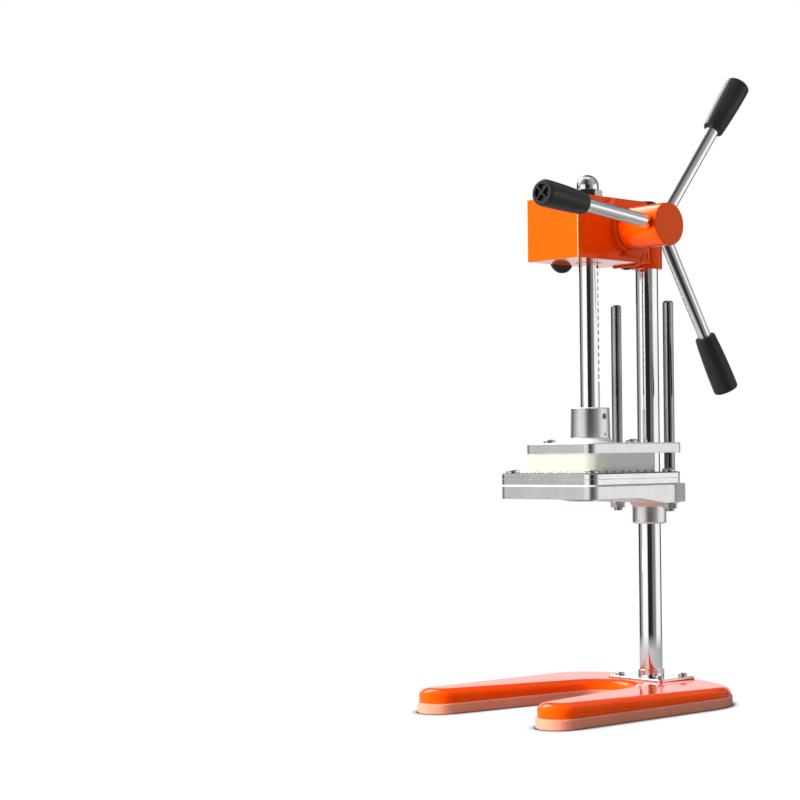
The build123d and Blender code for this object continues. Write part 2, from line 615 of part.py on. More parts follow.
def make_pinion_gear():
    """Spur pinion with a gap facing the rack, and a boss for its pin."""
    towards_rack = Plane(
        origin=(-PINION_HALF_X, PINION_Y, PINION_Z), x_dir=(0, -1, 0), z_dir=(1, 0, 0)
    )
    teeth = towards_rack * extrude(gear_outline(), 2 * PINION_HALF_X)
    boss = crosswise(PINION_BOSS_RADIUS, PINION_HALF_X, PINION_BOSS_X, PINION_Y, PINION_Z)
    return teeth + boss - crosswise(SHAFT_RADIUS, -20, 40, PINION_Y, PINION_Z)


def make_pinion_pin():
    """Dowel through the pinion's boss and the shaft."""
    x = (PINION_HALF_X + PINION_BOSS_X) / 2
    reach = PINION_BOSS_RADIUS - 0.2
    return upright(2, PINION_Z - reach, PINION_Z + reach, x, PINION_Y)


def make_handle_hub():
    """Hub barrel with a spot face round each spoke."""
    hub = crosswise(HUB_RADIUS, HUB_LOW, HUB_HIGH, PINION_Y, PINION_Z)
    hub = fillet(hub.edges().group_by(Axis.X)[-1], 0.8)
    spot_face = upright(SPOT_FACE_RADIUS, HUB_RADIUS - SPOT_FACE_DEPTH, HUB_RADIUS + 5)
    return hub - [spoke_axis(index) * spot_face for index in range(SPOKE_COUNT)]


def make_hub_set_screw():
    """Grub screw that locks the hub on the shaft."""
    axis = Plane(origin=(HUB_SCREW_X, PINION_Y, PINION_Z + SHAFT_RADIUS), z_dir=(0, 0, 1))
    length = HUB_RADIUS - SHAFT_RADIUS - 0.6
    screw = axis * Cylinder(HUB_SCREW_RADIUS, length, align=ON_BASE)
    return screw - axis * Pos(0, 0, length - 2.5) * extrude(RegularPolygon(1.4, 6), 2.5)


def spoke_axis(index):
    """Frame whose Z runs outwards along a spoke from the handwheel's axis."""
    angle = math.radians(SPOKE_FIRST + index * 360 / SPOKE_COUNT)
    cone = math.radians(SPOKE_CONE)
    across = math.cos(cone)
    outward = (math.sin(cone), across * math.cos(angle), across * math.sin(angle))
    return Plane(origin=(SPOKE_APEX_X, PINION_Y, PINION_Z), x_dir=(1, 0, 0), z_dir=outward)


def make_spoke(index):
    stub = upright(SPOKE_STUB_RADIUS, SPOKE_START, SPOKE_SHOULDER)
    return spoke_axis(index) * (stub + upright(SPOKE_RADIUS, SPOKE_SHOULDER, SPOKE_END))


def make_grip(index):
    """Tapered plastic grip, hollow-ended with a cross rib."""
    edge = 3.0
    profile = Curve() + [
        Polyline(
            (0, GRIP_END),
            (0, GRIP_START),
            (GRIP_START_RADIUS - 0.8, GRIP_START),
            (GRIP_START_RADIUS, GRIP_START + 1),
        ),
        ThreePointArc(
            (GRIP_START_RADIUS, GRIP_START + 1),
            (GRIP_WAIST_RADIUS, (GRIP_START + GRIP_END) / 2),
            (GRIP_END_RADIUS, GRIP_END - edge),
        ),
        ThreePointArc(
            (GRIP_END_RADIUS, GRIP_END - edge),
            (GRIP_END_RADIUS - edge * 0.29, GRIP_END - edge * 0.29),
            (GRIP_END_RADIUS - edge, GRIP_END),
        ),
        Line((GRIP_END_RADIUS - edge, GRIP_END), (0, GRIP_END)),
    ]
    grip = revolve(Plane.XZ * make_face(profile), Axis.Z)
    recess = upright(7.2, GRIP_END - 3, GRIP_END + 1)
    for angle in (45, 135):
        rib = Pos(0, 0, GRIP_END - 1) * Rot(0, 0, angle) * Box(15, 1.6, 5)
        recess -= rib
    grip -= recess
    grip -= upright(SPOKE_RADIUS, GRIP_START - 1, SPOKE_END)
    return spoke_axis(index) * grip


def make_pinion_shaft():
    shaft = crosswise(SHAFT_RADIUS, SHAFT_LOW, SHAFT_HIGH, PINION_Y, PINION_Z)
    return shaft - crosswise(3, SHAFT_LOW - 1, SHAFT_LOW + 14, PINION_Y, PINION_Z)


def make_shaft_washer():
    washer = crosswise(12, SHAFT_LOW - 2, SHAFT_LOW, PINION_Y, PINION_Z)
    washer = chamfer(washer.edges().group_by(Axis.X)[0], 0.4)
    return washer - crosswise(3, SHAFT_LOW - 3, SHAFT_LOW + 1, PINION_Y, PINION_Z)


def make_shaft_end_screw():
    """Button screw with a hexagon socket in the far end of the shaft."""
    seat = SHAFT_LOW - 2
    head = crosswise(6.5, seat - 3.6, seat, PINION_Y, PINION_Z)
    head = fillet(head.edges().group_by(Axis.X)[0], 2.4)
    key = Plane(origin=(seat - 3.6, PINION_Y, PINION_Z), z_dir=(1, 0, 0))
    head -= key * extrude(RegularPolygon(2.3, 6), 2)
    return head + crosswise(3, seat, SHAFT_LOW + 14, PINION_Y, PINION_Z)


# --- knobs ------------------------------------------------------------------------------


def clamp_knob(face, boss, y, z):
    """Round plastic knob with a finely fluted rim and a boss towards the head, axis along X."""
    body = Cylinder(KNOB_RADIUS, KNOB_THICKNESS, align=ON_BASE)
    body = chamfer(fillet(rim(body, -1), KNOB_EDGE).edges().group_by(Axis.Z)[0], 0.8)
    flute_centre = KNOB_RADIUS + KNOB_FLUTE_RADIUS - KNOB_FLUTE_DEPTH
    for index in range(KNOB_FLUTES):
        flute = upright(KNOB_FLUTE_RADIUS, -1, KNOB_THICKNESS + 1, flute_centre, 0)
        body -= Rot(0, 0, index * 360 / KNOB_FLUTES) * flute
    body += upright(KNOB_BOSS_RADIUS, -boss, 0)
    body -= upright(KNOB_STUD_RADIUS, -boss - 1, KNOB_THICKNESS - KNOB_SKIN)
    return Plane(origin=(face, y, z), z_dir=(-1, 0, 0)) * body


def clamp_stud(face, tip, y, z):
    """Threaded stud that the knob turns."""
    return crosswise(KNOB_STUD_RADIUS, face - KNOB_THICKNESS + KNOB_SKIN, tip, y, z)


def build():
    """All pieces by name. Seats and tapped holes are cut by the piece that fills them."""
    sides = (-1, 1)
    spokes = [make_spoke(index) for index in range(SPOKE_COUNT)]
    column = make_column_tube()
    flange_screws = [
        flange_screw(x * FLANGE_SCREW_X, y * FLANGE_SCREW_Y) for x in sides for y in sides
    ]
    cassette_screws = make_cassette_screws()
    mounting_screws = make_mounting_screws()
    bolts = [pusher_bolt(side) for side in sides]
    pinion_pin = make_pinion_pin()
    solid_column = upright(COLUMN_RADIUS, BASE_TOP, HEAD_TOP)
    clamp_tip = -COLUMN_RADIUS - 0.1
    friction_tip = -PLUNGER_RADIUS - 0.1
    parts = {
        "base_pad": make_base_pad(),
        "base_casting": make_base_casting() - flange_screws,
        "column_flange": make_column_flange() - flange_screws - solid_column,
        "flange_screws": Compound(flange_screws),
        "column_tube": column,
        "column_cap": make_column_cap(),
        "bracket_casting": make_bracket() - mounting_screws - bracket_screw_blank(),
        "bracket_set_screw": make_bracket_set_screw(),
        "guide_rods": Compound([guide_rod(side) for side in sides]),
        "rod_washers": Compound([rod_washer(side) for side in sides]),
        "rod_nuts": Compound([rod_nut(side) for side in sides]),
        "blade_frame_lower": frame_plate(FRAME_BOTTOM, FRAME_SEAM)
        - cassette_screws
        - mounting_screws,
        "blade_frame_upper": frame_plate(FRAME_SEAM, FRAME_TOP)
        - cassette_screws
        - mounting_screws,
        "blades_cross": make_blades_cross(),
        "blades_long": make_blades_long(),
        "cassette_screws": Compound(cassette_screws),
        "cassette_mounting_screws": Compound(mounting_screws),
        "head_housing": make_head_housing(),
        "head_neck": make_head_neck(),
        "head_socket": make_head_socket(),
        "plunger_bush_upper": plunger_bush(HEAD_TOP - UPPER_BUSH_LENGTH, HEAD_TOP),
        "plunger_bush_lower": plunger_bush(HEAD_BOTTOM, HEAD_BOTTOM + LOWER_BUSH_LENGTH)
        - friction_hole(),
        "bearing_seat": make_bearing_seat(),
        "shaft_bush_near": shaft_bush(PINION_BOSS_X + 1, SEAT_FLANGE_X),
        "shaft_bush_far": shaft_bush(-HEAD_HALF_X, 2 - PINION_BOSS_X),
        "plunger_rack": make_plunger_rack(),
        "stop_washer": make_stop_washer(),
        "cap_nut": make_cap_nut(),
        "presser_plate": make_presser_plate() - bolts,
        "presser_set_screw": make_presser_set_screw(),
        "pusher_block": make_pusher_block() - bolts,
        "pusher_bolts": Compound(bolts),
        "pinion_shaft": make_pinion_shaft() - pinion_pin,
        "pinion_gear": make_pinion_gear() - pinion_pin,
        "pinion_pin": pinion_pin,
        "handle_hub": make_handle_hub()
        - spokes
        - crosswise(SHAFT_RADIUS, HUB_LOW - 1, SHAFT_HIGH, PINION_Y, PINION_Z)
        - upright(HUB_SCREW_RADIUS, PINION_Z, PINION_Z + 30, HUB_SCREW_X, PINION_Y),
        "hub_set_screw": make_hub_set_screw(),
        "shaft_washer": make_shaft_washer(),
        "shaft_end_screw": make_shaft_end_screw(),
        "friction_knob": clamp_knob(
            FRICTION_KNOB_FACE, FRICTION_KNOB_BOSS, PLUNGER_Y, FRICTION_KNOB_Z
        ),
        "friction_stud": clamp_stud(FRICTION_KNOB_FACE, friction_tip, PLUNGER_Y, FRICTION_KNOB_Z),
        "head_clamp_knob": clamp_knob(CLAMP_KNOB_FACE, CLAMP_KNOB_BOSS, 0, CLAMP_KNOB_Z),
        "head_clamp_stud": clamp_stud(CLAMP_KNOB_FACE, clamp_tip, 0, CLAMP_KNOB_Z),
    }
    for index in range(SPOKE_COUNT):
        parts[f"spoke_{index + 1}"] = spokes[index]
        parts[f"grip_{index + 1}"] = make_grip(index)
    return parts


os.makedirs("parts", exist_ok=True)
for name, shape in build().items():
    export_step(shape, f"parts/{name}.step")
    print(name, len(shape.solids()), round(shape.volume))
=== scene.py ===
"""Vegetable dicer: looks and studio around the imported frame.

Metres, row frame: the column axis stands at the origin, +Z up, handwheel towards +X, front towards -Y.
"""

import json
import math

import bmesh
import bpy
from mathutils import Matrix, Vector


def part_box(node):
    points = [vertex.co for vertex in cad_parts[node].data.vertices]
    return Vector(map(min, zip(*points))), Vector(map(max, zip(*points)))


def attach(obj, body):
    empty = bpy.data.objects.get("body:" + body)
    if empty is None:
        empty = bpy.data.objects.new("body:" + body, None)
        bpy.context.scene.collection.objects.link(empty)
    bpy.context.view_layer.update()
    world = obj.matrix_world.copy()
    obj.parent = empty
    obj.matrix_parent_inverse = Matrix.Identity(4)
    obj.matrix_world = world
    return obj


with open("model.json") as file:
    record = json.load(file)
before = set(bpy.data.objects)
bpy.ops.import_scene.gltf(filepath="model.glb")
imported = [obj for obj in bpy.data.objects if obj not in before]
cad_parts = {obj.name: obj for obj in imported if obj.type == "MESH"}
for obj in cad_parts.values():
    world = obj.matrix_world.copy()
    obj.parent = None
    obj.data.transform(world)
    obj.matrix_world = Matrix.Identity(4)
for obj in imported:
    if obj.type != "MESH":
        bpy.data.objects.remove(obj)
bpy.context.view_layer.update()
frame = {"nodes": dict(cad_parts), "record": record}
NODES = frame["nodes"]

# Viewpoint: an azimuth from the front, a level line of sight and a long lens
AZIMUTH = math.radians(44.18)
CAMERA_DISTANCE, CAMERA_HEIGHT = 1.6948, 0.230
CAMERA_LENS, CAMERA_ROLL = 84.07, math.radians(-0.66)
SHIFT_X, SHIFT_Y = -0.2384, 0.0642
TOWARDS_CAMERA = (math.sin(AZIMUTH), -math.cos(AZIMUTH), 0.0)
TOWARDS_RIGHT = (math.cos(AZIMUTH), math.sin(AZIMUTH), 0.0)


# ---------------------------------------------------------------- node helpers


class Graph:
    """A node tree with short calls: inputs may be numbers, colours or other nodes' outputs."""

    def __init__(self, tree):
        tree.nodes.clear()
        self.tree = tree

    def add(self, kind, inputs=None, out=0, **settings):
        made = self.tree.nodes.new(kind)
        for key, value in settings.items():
            setattr(made, key, value)
        for key, value in (inputs or {}).items():
            socket = made.inputs[key]
            if isinstance(value, bpy.types.NodeSocket):
                self.tree.links.new(value, socket)
            else:
                socket.default_value = value
        return made.outputs[out] if len(made.outputs) else made

    def math(self, operation, a, b=0.0):
        return self.add("ShaderNodeMath", {0: a, 1: b}, operation=operation)

    def place(self):
        """Object coordinates in metres."""
        return self.add("ShaderNodeTexCoord", out=3)

    def part(self, vector, axis):
        """One component of a vector: axis 0, 1 or 2."""
        return self.add("ShaderNodeSeparateXYZ", {0: vector}, out=axis)

    def facing(self, axis):
        """One component of the surface's own normal."""
        return self.part(self.add("ShaderNodeNewGeometry", out=1), axis)

    def noise(self, scale, detail=2.0, roughness=0.5, stretch=(1, 1, 1)):
        vector = self.add("ShaderNodeMapping", {0: self.place(), 3: stretch})
        inputs = {"Vector": vector, "Scale": scale, "Detail": detail, "Roughness": roughness}
        return self.add("ShaderNodeTexNoise", inputs)

    def span(self, value, low, high, from_low=0.0, from_high=1.0):
        inputs = {0: value, 1: from_low, 2: from_high, 3: low, 4: high}
        return self.add("ShaderNodeMapRange", inputs)

    def blend(self, share, first, second):
        made = self.tree.nodes.new("ShaderNodeMix")
        made.data_type = "RGBA"
        for index, value in ((0, share), (6, first), (7, second)):
            socket = made.inputs[index]
            if isinstance(value, bpy.types.NodeSocket):
                self.tree.links.new(value, socket)
            else:
                socket.default_value = value
        return made.outputs[2]

    def bump(self, height, distance, strength, normal):
        inputs = {"Height": height, "Distance": distance, "Strength": strength, "Normal": normal}
        return self.add("ShaderNodeBump", inputs)

    def soft_edges(self, radius):
        """Normals that round off sharp edges by radius metres."""
        return self.add("ShaderNodeBevel", {"Radius": radius}, samples=4)

    def upright(self):
        """1 on faces that stand up or lean, 0 on level ones."""
        return self.span(self.math("ABSOLUTE", self.facing(2)), 1.0, 0.0, 0.90, 0.97)

    def ramp(self, value, stops):
        made = self.tree.nodes.new("ShaderNodeValToRGB")
        points = made.color_ramp.elements
        while len(points) > 1:
            points.remove(points[-1])
        points[0].position, points[0].color = stops[0][0], grey(stops[0][1])
        for position, level in stops[1:]:
            points.new(position).color = grey(level)
        self.tree.links.new(value, made.inputs[0])
        return made.outputs[0]

    def surface(self, **inputs):
        shader = self.add("ShaderNodeBsdfPrincipled", {k.replace("_", " "): v for k, v in inputs.items()})
        self.add("ShaderNodeOutputMaterial", {0: shader})


def grey(level):
    return (level, level, level, 1.0) if isinstance(level, (int, float)) else (*level, 1.0)


def material(name):
    made = bpy.data.materials.new(name)
    made.use_nodes = True
    return made, Graph(made.node_tree)


# ---------------------------------------------------------------- materials


def enamel():
    """Glossy orange enamel: faint orange peel, slow sags in tone, dust nibs, and a pale highlight painted
    down the head's front corner.
    """
    made, g = material("orange_enamel")
    tone = g.span(g.noise(11.0, 3.0), 0, 1, 0.3, 0.7)
    colour = g.blend(tone, grey((0.84, 0.056, 0.0006)), grey((0.90, 0.069, 0.0009)))
    nibs = g.span(g.noise(700.0, 1.0), 0.0, 1.0, 0.83, 0.86)
    colour = g.blend(g.math("MULTIPLY", nibs, 0.2), colour, grey((0.95, 0.24, 0.08)))
    # Painted highlight: a pale line painted down the head's front vertical corner, where a glint of light
    # would fall.
    between = g.math("MULTIPLY", g.math("ABSOLUTE", g.facing(0)), g.math("ABSOLUTE", g.facing(1)))
    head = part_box("head_housing")[0]
    on_head = g.span(g.part(g.place(), 2), 0.0, 1.0, head.z - 0.002, head.z - 0.001)
    at_front = g.span(g.part(g.place(), 1), 1.0, 0.0, head.y + 0.002, head.y + 0.003)
    near_front = g.math("MULTIPLY", at_front, on_head)
    corner = g.math("MULTIPLY", g.span(between, 0.0, 1.0, 0.12, 0.30), near_front)
    colour = g.blend(g.math("MULTIPLY", corner, 0.85), colour, grey((1.0, 0.52, 0.24)))
    peel = g.bump(g.noise(380.0, 2.0, 0.45), 0.00005, 0.22, g.soft_edges(0.0009))
    waves = g.bump(g.noise(45.0, 1.0), 0.00035, 0.14, peel)
    rough = g.span(g.noise(60.0, 3.0), 0.075, 0.125)
    tint = grey((1.0, 0.36, 0.05))
    g.surface(Base_Color=colour, Roughness=rough, IOR=1.58, Specular_Tint=tint, Normal=waves)
    return made


def pad_rubber():
    """Brick-coloured moulded rubber, matt, with fine pores and slightly paler rubbed patches."""
    made, g = material("pad_rubber")
    patches = g.span(g.noise(24.0, 4.0, 0.6), 0, 1, 0.3, 0.75)
    colour = g.blend(patches, grey((0.62, 0.205, 0.125)), grey((0.69, 0.240, 0.155)))
    pores = g.span(g.noise(1300.0, 2.0), 0, 1, 0.25, 0.40)
    colour = g.blend(pores, grey((0.48, 0.14, 0.08)), colour)
    grain = g.bump(g.noise(1500.0, 3.0, 0.6), 0.00012, 0.45, g.soft_edges(0.0005))
    g.surface(Base_Color=colour, Roughness=g.span(patches, 0.50, 0.40), IOR=1.45, Normal=grain)
    return made


def bright_metal(name, low, high, rough_low, rough_high, lines=(1, 1, 0.01), painted_rim_dark=0.0):
    """Polished or plated steel: fine lines one way, faint smears, and a dark reflection painted along the
    outline when asked for.
    """
    made, g = material(name)
    smear = g.span(g.noise(24.0, 4.0, 0.6), 0, 1, 0.32, 0.7)
    # Painted reflection: towards the outline the colour and specular tint go dark, standing in for the
    # dark room a curved mirror shows there.
    outline = g.add("ShaderNodeLayerWeight", {"Blend": 0.5}, out=1)
    outline = g.span(outline, 0.0, painted_rim_dark, 0.50, 0.72)
    colour = g.blend(outline, g.blend(smear, grey(low), grey(high)), grey(0.05))
    scratches = g.noise(2600.0, 2.0, 0.6, lines)
    rough = g.math("ADD", g.span(smear, rough_low, rough_high), g.span(scratches, -0.02, 0.03))
    normal = g.bump(scratches, 0.000004, 0.35, g.soft_edges(0.0004))
    g.surface(
        Base_Color=colour,
        Metallic=1.0,
        Roughness=g.math("MAXIMUM", rough, 0.03),
        Specular_Tint=g.blend(outline, grey(1.0), grey(0.15)),
        Normal=normal,
    )
    return made


def cast_aluminium():
    """Cast aluminium: upright faces linished bright with a few pits, the rest left as cast and dull."""
    made, g = material("cast_aluminium")
    as_cast = g.span(g.math("ABSOLUTE", g.facing(2)), 0.0, 1.0, 0.10, 0.40)
    cloud = g.span(g.noise(48.0, 5.0, 0.65), 0, 1, 0.3, 0.7)
    colour = g.blend(cloud, grey((0.84, 0.825, 0.82)), grey((0.95, 0.94, 0.935)))
    fine = g.noise(1700.0, 3.0, 0.7)
    colour = g.blend(g.span(fine, 0.0, 1.0, 0.34, 0.50), grey((0.62, 0.61, 0.605)), colour)
    pits = g.span(g.noise(330.0, 1.0), 0, 1, 0.20, 0.27)
    colour = g.blend(pits, grey((0.42, 0.41, 0.405)), colour)
    colour = g.blend(g.math("MULTIPLY", as_cast, 0.55), colour, grey((0.70, 0.69, 0.685)))
    sand = g.bump(g.noise(700.0, 3.0, 0.6), g.span(as_cast, 0.00002, 0.00018), 0.5, g.soft_edges(0.0009))
    coarse = g.bump(g.noise(240.0, 3.0, 0.6), 0.00012, 0.30, sand)
    normal = g.bump(g.math("MULTIPLY", fine, pits), 0.00005, 0.5, coarse)
    rough = g.math("ADD", g.span(fine, 0.29, 0.40), g.math("MULTIPLY", as_cast, 0.30))
    bare = g.span(as_cast, 1.0, 0.35)
    g.surface(Base_Color=colour, Metallic=bare, Roughness=rough, Normal=normal)
    return made


def cassette_plate():
    """Milled aluminium plate: level tool lines round the edges, painted shade along the top bevel, a
    satin top.
    """
    made, g = material("cassette_plate")
    cloud = g.span(g.noise(40.0, 4.0, 0.6), 0, 1, 0.3, 0.7)
    colour = g.blend(cloud, grey((0.80, 0.795, 0.79)), grey((0.90, 0.895, 0.89)))
    lines = g.noise(1.0, 3.0, 0.65, (160, 160, 4200))
    colour = g.blend(g.span(lines, 0.0, 1.0, 0.30, 0.48), grey((0.60, 0.595, 0.59)), colour)
    grain = g.noise(2300.0, 2.0, 0.6)
    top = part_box("blade_frame_upper")[1].z
    # Painted shade: the top 1.2 mm of the upright faces turns near-black, less metallic and rougher,
    # standing in for the shade along the bevel.
    bevel = g.span(g.part(g.place(), 2), 0.0, 1.0, top - 0.0012, top - 0.0008)
    painted_bevel_shade = g.math("MULTIPLY", bevel, g.upright())
    colour = g.blend(g.math("MULTIPLY", painted_bevel_shade, 0.95), colour, grey((0.035, 0.034, 0.033)))
    normal = g.bump(grain, 0.00003, 0.4, g.bump(lines, 0.00003, 0.4, g.soft_edges(0.0004)))
    rough = g.math("ADD", g.span(grain, 0.17, 0.28), g.math("MULTIPLY", painted_bevel_shade, 0.45))
    g.surface(Base_Color=colour, Metallic=g.span(painted_bevel_shade, 1.0, 0.1), Roughness=rough, Normal=normal)
    return made


def nylon():
    """Cream food-grade nylon: translucent at the corners, faint mill marks, painted shade on the front
    and painted light on the faces turned away from it.
    """
    made, g = material("nylon")
    patches = g.span(g.noise(30.0, 3.0, 0.55), 0, 1, 0.3, 0.7)
    colour = g.blend(patches, grey((0.385, 0.372, 0.318)), grey((0.410, 0.397, 0.343)))
    lines = g.noise(1.0, 2.0, 0.5, (45, 45, 1900))
    colour = g.blend(g.span(lines, 0.0, 1.0, 0.2, 0.45), grey((0.36, 0.345, 0.26)), colour)
    # Painted light and shade: faces turned away from the front get a much paler cream, while the front
    # keeps the darker one.
    colour = g.blend(g.span(g.facing(1), 0.0, 1.0, 0.0, -0.9), grey((0.86, 0.84, 0.76)), colour)
    normal = g.bump(lines, 0.00004, 0.35, g.soft_edges(0.0006))
    g.surface(
        Base_Color=colour,
        Roughness=g.span(lines, 0.34, 0.50),
        Subsurface_Weight=0.9,
        Subsurface_Radius=(1.0, 0.9, 0.6),
        Subsurface_Scale=0.018,
        IOR=1.45,
        Normal=normal,
    )
    return made


def black_plastic():
    """Satin black moulded plastic with a fine sparked grain and slight handling shine."""
    made, g = material("black_plastic")
    shine = g.span(g.noise(40.0, 3.0, 0.6), 0, 1, 0.35, 0.7)
    colour = g.blend(shine, grey((0.0075, 0.0075, 0.008)), grey((0.013, 0.013, 0.0135)))
    grain = g.noise(1900.0, 2.0, 0.55)
    normal = g.bump(grain, 0.00002, 0.16, g.soft_edges(0.0006))
    rough = g.math("ADD", g.span(shine, 0.36, 0.28), g.span(grain, -0.02, 0.03))
    g.surface(Base_Color=colour, Roughness=rough, IOR=1.42, Normal=normal)
    return made


def bronze():
    """Oil-filled sintered bronze: warm, dull and porous."""
    made, g = material("bronze")
    cloud = g.span(g.noise(150.0, 4.0, 0.6), 0, 1, 0.3, 0.7)
    colour = g.blend(cloud, grey((0.40, 0.22, 0.08)), grey((0.62, 0.38, 0.17)))
    pores = g.noise(2400.0, 2.0, 0.6)
    normal = g.bump(pores, 0.00006, 0.5, g.soft_edges(0.0004))
    g.surface(Base_Color=colour, Metallic=1.0, Roughness=g.span(pores, 0.30, 0.46), Normal=normal)
    return made


def plunger_steel():
    """Chromed bar whose milled rack side is bare darker steel, going darker towards the tooth roots."""
    made, g = material("plunger_steel")
    smear = g.span(g.noise(24.0, 4.0, 0.6), 0, 1, 0.32, 0.7)
    plated = g.blend(smear, grey(0.86), grey(0.95))
    depth = g.part(g.place(), 1)
    low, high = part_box("plunger_rack")
    bar_rear = low.y + (high.x - low.x)
    tooth = g.span(depth, 0.0, 1.0, bar_rear - 0.0034, bar_rear - 0.0030)
    cut = g.span(g.part(g.place(), 2), 0.0, 1.0, RACK_LOW - 0.001, RACK_LOW + 0.001)
    toothed = g.math("MULTIPLY", cut, tooth)
    # Darker towards the tooth roots.
    root = g.span(depth, 1.0, 0.0, bar_rear - 0.0058, bar_rear - 0.0032)
    bare = g.blend(g.math("MULTIPLY", root, 0.75), grey((0.30, 0.285, 0.275)), grey((0.055, 0.05, 0.045)))
    colour = g.blend(toothed, plated, bare)
    scratches = g.noise(2600.0, 2.0, 0.6, (1, 1, 0.01))
    rough = g.math("ADD", g.span(smear, 0.045, 0.085), g.math("MULTIPLY", toothed, 0.2))
    normal = g.bump(scratches, 0.000004, 0.35, g.soft_edges(0.0004))
    g.surface(Base_Color=colour, Metallic=1.0, Roughness=rough, Normal=normal)
    return made


# Height at which the rack's teeth start
RACK_LOW = 0.284
MATERIALS = {
    "orange_paint": enamel(),
    "base_pad": pad_rubber(),
    "chrome": bright_metal("chrome", (0.86, 0.85, 0.85), (0.95, 0.945, 0.94), 0.025, 0.055),
    "cast_aluminium": cast_aluminium(),
    "cassette_plate": cassette_plate(),
    "blade_steel": bright_metal(
        "blade_steel", (0.62, 0.62, 0.63), (0.80, 0.80, 0.80), 0.14, 0.24, (1, 1, 0.05)
    ),
    "nylon": nylon(),
    "bronze": bronze(),
    "black_plastic": black_plastic(),
    "gear_steel": bright_metal(
        "gear_steel", (0.34, 0.33, 0.32), (0.52, 0.51, 0.50), 0.20, 0.34, (1, 0.03, 1)
    ),
    "fastener_steel": bright_metal(
        "fastener_steel", (0.60, 0.59, 0.58), (0.80, 0.79, 0.78), 0.14, 0.26, (1, 1, 0.2)
    ),
}
SPECIAL = {
    # The cap nut's chrome has a dark reflection painted round its outline.
    "cap_nut": bright_metal(
        "domed_chrome", (0.84, 0.83, 0.83), (0.95, 0.945, 0.94), 0.03, 0.06, painted_rim_dark=0.95
    ),
    "guide_rods": bright_metal("guide_rod_steel", (0.30, 0.29, 0.295), (0.40, 0.39, 0.39), 0.07, 0.12),
    "plunger_rack": plunger_steel(),
}


def record_slots():
    """The record's material slot of every CAD node."""
    found = {}

    def visit(entry):
        if isinstance(entry, dict):
            if "material_slot" in entry:
                found[entry.get("node") or entry.get("name")] = entry["material_slot"]
            for value in entry.values():
                visit(value)
        elif isinstance(entry, list):
            for value in entry:
                visit(value)

    visit(frame["record"])
    return found


SLOTS = record_slots()
for node_name, node in sorted(NODES.items()):
    node.data.materials.clear()
    node.data.materials.append(SPECIAL.get(node_name) or MATERIALS[SLOTS[node_name]])

# ---------------------------------------------------------------- added pieces


def new_piece(name, bm, slot):
    """Turns a bmesh into a smooth-shaded piece that rides on the stand, in its slot's material."""
    bmesh.ops.recalc_face_normals(bm, faces=bm.faces)
    mesh = bpy.data.meshes.new(name)
    bm.to_mesh(mesh)
    bm.free()
    for polygon in mesh.polygons:
        polygon.use_smooth = True
    mesh.set_sharp_from_angle(angle=math.radians(38))
    mesh.materials.append(MATERIALS[slot])
    made = bpy.data.objects.new(name, mesh)
    bpy.context.scene.collection.objects.link(made)
    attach(made, "stand")


def resample(corners, step):
    """Points every step along a polyline, with its corners rounded by averaging."""
    points = []
    for start, end in zip(corners, corners[1:]):
        count = max(1, round((end - start).length / step))
        points += [start.lerp(end, k / count) for k in range(count)]
    points.append(corners[-1])
    for _ in range(6):
        inner = [(a + 2 * b + c) / 4 for a, b, c in zip(points, points[1:], points[2:])]
        points = [points[0], *inner, points[-1]]
    return points


def weld_bead(bm, corners, radius, ripple=0.0021, sides=10):
    """Weld run: overlapping ripples along a path, tapering to nothing at both ends."""
    points = resample([Vector(corner) for corner in corners], ripple / 7)
    rows, travelled = [], 0.0
    total = sum((b - a).length for a, b in zip(points, points[1:]))
    turns = [math.tau * k / sides for k in range(sides)]
    for index, point in enumerate(points):
        before, after = points[max(index - 1, 0)], points[min(index + 1, len(points) - 1)]
        along = (after - before).normalized()
        travelled += (point - before).length if index else 0.0
        wobble = 0.10 * math.sin(travelled * 610) + 0.06 * math.sin(travelled * 1370 + 1)
        scallop = 0.80 + 0.24 * math.sin(math.pi * ((travelled / ripple) % 1.0)) ** 0.6 + wobble * 0.5
        taper = min(1.0, 0.25 + travelled / (2 * radius), 0.25 + (total - travelled) / (2 * radius))
        size = radius * scallop * taper
        across = along.orthogonal().normalized()
        if rows and abs(along.dot(last_across)) < 0.95:
            across = (last_across - along * along.dot(last_across)).normalized()
        last_across = across
        other = along.cross(across)
        spokes = [math.cos(t) * across + math.sin(t) * other for t in turns]
        rows.append([bm.verts.new(point + size * spoke) for spoke in spokes])
    for lower, upper in zip(rows, rows[1:]):
        for k in range(sides):
            following = (k + 1) % sides
            bm.faces.new((lower[k], lower[following], upper[following], upper[k]))
    bm.faces.new(rows[0][::-1])
    bm.faces.new(rows[-1])


def thread_sleeve(bm, centre, axis, radius, length, pitch=0.00125, depth=0.00045, sides=36):
    """Helical thread crests standing on a stud, from centre along axis."""
    axis = Vector(axis).normalized()
    across = axis.orthogonal().normalized()
    other = axis.cross(across)
    steps = max(4, round(length / pitch * 8))
    rows = []
    for step in range(steps + 1):
        height = length * step / steps
        row = []
        for k in range(sides):
            turn = math.tau * k / sides
            phase = (height / pitch + k / sides) % 1.0
            reach = radius - depth * abs(2 * phase - 1) + 0.00004
            spoke = math.cos(turn) * across + math.sin(turn) * other
            row.append(bm.verts.new(Vector(centre) + axis * height + spoke * reach))
        rows.append(row)
    for lower, upper in zip(rows, rows[1:]):
        for k in range(sides):
            following = (k + 1) % sides
            bm.faces.new((lower[k], lower[following], upper[following], upper[k]))
    bm.faces.new(rows[0][::-1])
    bm.faces.new(rows[-1])


